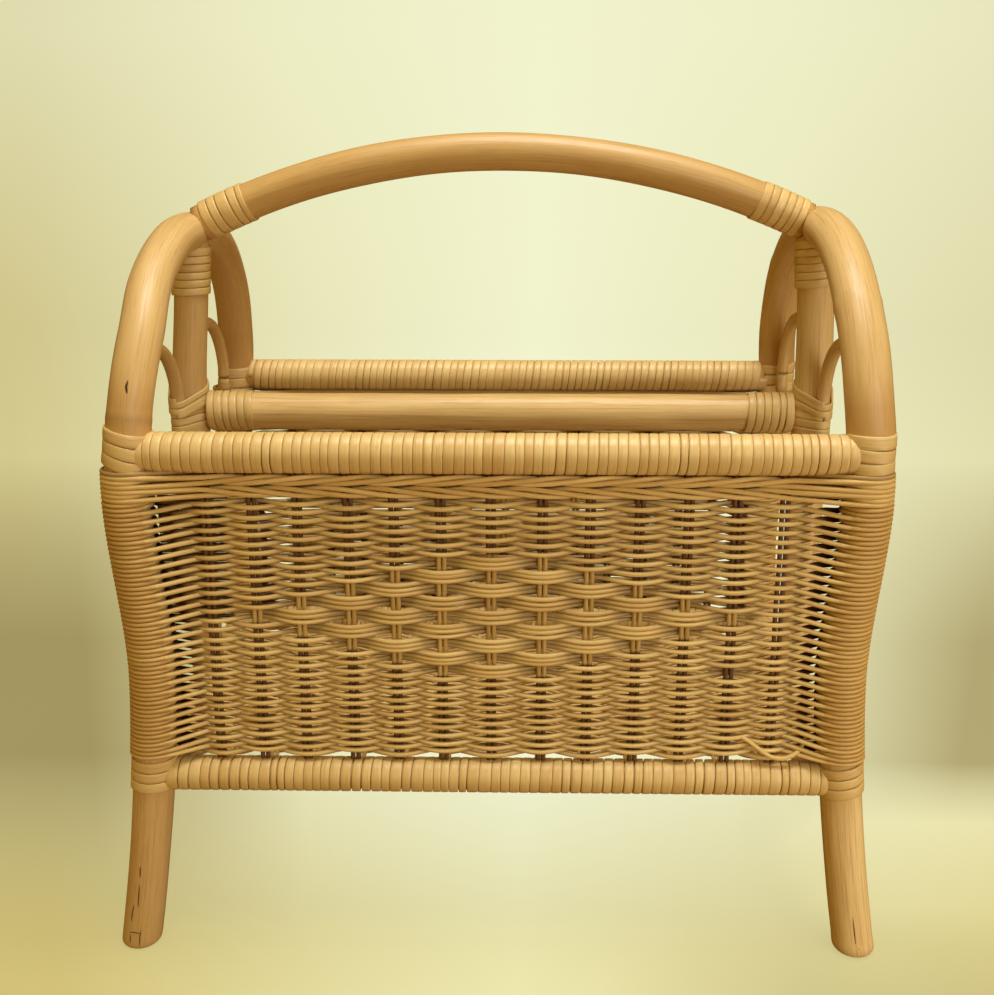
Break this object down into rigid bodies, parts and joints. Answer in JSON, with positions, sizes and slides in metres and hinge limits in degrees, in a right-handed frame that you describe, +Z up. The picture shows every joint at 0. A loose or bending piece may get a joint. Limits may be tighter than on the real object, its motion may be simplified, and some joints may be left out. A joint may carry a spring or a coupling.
{
  "type": "magazine basket",
  "caption": "Rattan magazine basket: arched pole end frames with scrolled curls, woven front, back and bottom, and a bowed carrying handle.",
  "frame": {"origin": "on the floor, midway between the four feet", "axes": "+Z up, +X to the right along the handle, -Y towards the front panel, so +Y is the depth"},
  "size_m": [0.4486, 0.276, 0.468],
  "materials": {
    "pole": "peeled rattan pole, clear satin lacquer",
    "pale_pole": "pale rattan pole with bark, clear satin lacquer",
    "reed": "split rattan reed, clear satin lacquer",
    "cane": "flat cane strip, clear satin lacquer"
  },
  "bodies": {
    "root": {"left_arch_frame": "pole", "right_arch_frame": "pole", "handle": "pale_pole", "front_top_rail": "pole", "front_bottom_rail": "pole", "back_top_rail": "pole", "back_bottom_rail": "pole", "left_bottom_stretcher": "pole", "right_bottom_stretcher": "pole", "left_centre_post": "pole", "right_centre_post": "pole", "centre_rail": "pale_pole", "left_front_curl": "pole", "left_back_curl": "pole", "right_front_curl": "pole", "right_back_curl": "pole", "front_stakes": "reed", "front_weave": "reed", "back_stakes": "reed", "back_weave": "reed", "bottom_stakes": "reed", "bottom_weave": "reed", "front_top_rail_cane": "cane", "front_bottom_rail_cane": "cane", "back_top_rail_cane": "cane", "back_bottom_rail_cane": "cane", "front_left_top_corner_cane": "cane", "front_left_bottom_corner_cane": "cane", "back_left_top_corner_cane": "cane", "back_left_bottom_corner_cane": "cane", "front_right_top_corner_cane": "cane", "front_right_bottom_corner_cane": "cane", "back_right_top_corner_cane": "cane", "back_right_bottom_corner_cane": "cane", "handle_left_cane": "cane", "centre_rail_left_cane": "cane", "left_centre_post_top_cane": "cane", "left_curl_tie": "cane", "handle_right_cane": "cane", "centre_rail_right_cane": "cane", "right_centre_post_top_cane": "cane", "right_curl_tie": "cane"}
  },
  "joints": []
}
